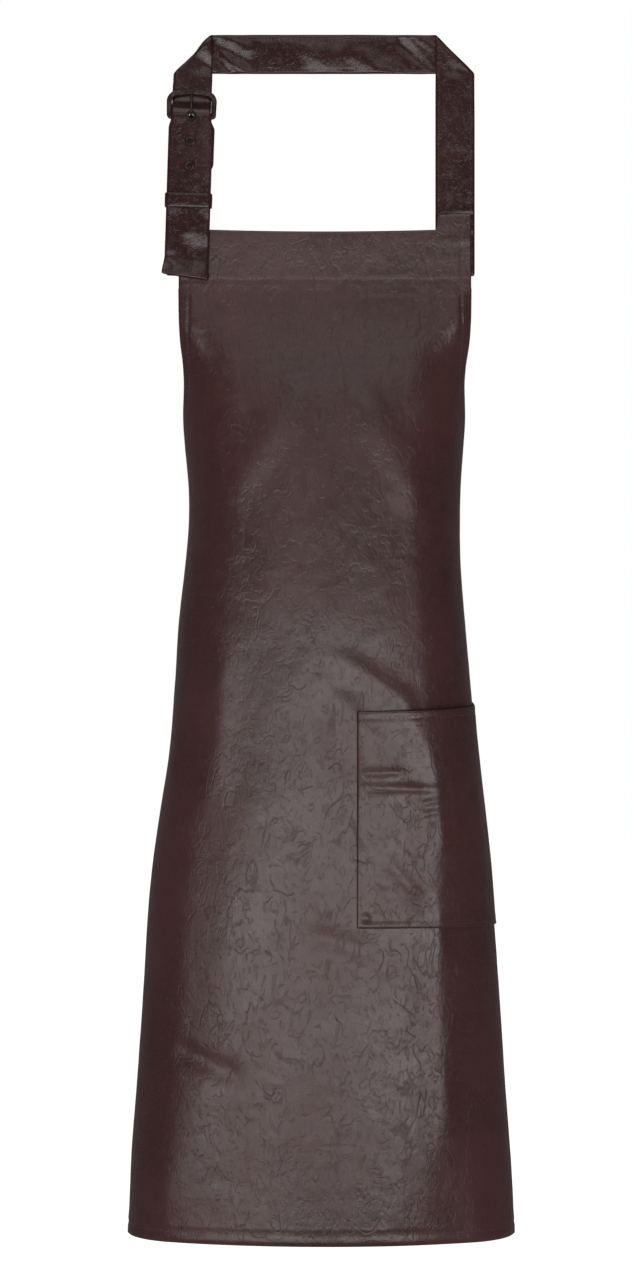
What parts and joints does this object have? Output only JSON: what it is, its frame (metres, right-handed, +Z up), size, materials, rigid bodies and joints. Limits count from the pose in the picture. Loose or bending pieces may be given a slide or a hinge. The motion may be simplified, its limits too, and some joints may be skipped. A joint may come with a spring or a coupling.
{
  "type": "welding apron",
  "caption": "Bib apron of dark brown leather-look sheet with a buckled neck strap, a hip pocket and waist ties bowed behind.",
  "frame": {"origin": "middle of the lower edge of the neck strap's horizontal run, where the apron hangs", "axes": "+X to the right as seen from the front, +Y away from the front towards the wearer's back, +Z up"},
  "size_m": [0.3511, 0.2301, 1.082],
  "materials": {
    "apron_leather": "semi-gloss, fine creases",
    "strap_leather": "semi-gloss, pressed grain",
    "antique_metal": "antique, dark"
  },
  "bodies": {
    "apron": {"front_panel": "apron_leather", "bib_facing": "apron_leather", "hip_pocket": "apron_leather", "neck_strap": "strap_leather", "buckle_strap": "strap_leather", "eyelet_1": "antique_metal", "eyelet_2": "antique_metal", "eyelet_3": "antique_metal", "left_waist_tie": "strap_leather", "right_waist_tie": "strap_leather", "tie_knot": "strap_leather", "left_bow_loop": "strap_leather", "right_bow_loop": "strap_leather"},
    "buckle": {"buckle_frame": "antique_metal"},
    "prong": {"buckle_prong": "antique_metal"},
    "keeper": {"keeper_loop": "strap_leather"},
    "tip": {"strap_tip": "strap_leather"},
    "left_tail": {"left_tie_tail": "strap_leather"},
    "right_tail": {"right_tie_tail": "strap_leather"}
  },
  "joints": [
    {"name": "buckle_tilt", "type": "hinge", "parent": "apron", "child": "buckle", "pos_m": [-0.12007, -0.0059, -0.04048], "axis": [0.9995, 0, -0.0314], "range_deg": [0, 6]},
    {"name": "prong_swing", "type": "hinge", "parent": "buckle", "child": "prong", "pos_m": [-0.12007, -0.0059, -0.04048], "axis": [0.9995, 0, -0.0314], "range_deg": [0, 8]},
    {"name": "keeper_slide", "type": "slide", "parent": "apron", "child": "keeper", "axis": [0.0314, 0, 0.9995], "range_m": [-0.004, 0.016]},
    {"name": "strap_tip_lift", "type": "hinge", "parent": "apron", "child": "tip", "pos_m": [-0.12323, -0.013, -0.1413], "axis": [-0.9995, 0, 0.0314], "range_deg": [0, 80]},
    {"name": "left_tail_swing", "type": "hinge", "parent": "apron", "child": "left_tail", "pos_m": [-0.015, 0.1528, -0.4595], "axis": [1, 0, 0], "range_deg": [0, 36]},
    {"name": "right_tail_swing", "type": "hinge", "parent": "apron", "child": "right_tail", "pos_m": [0.015, 0.1528, -0.4595], "axis": [1, 0, 0], "range_deg": [0, 36]}
  ]
}
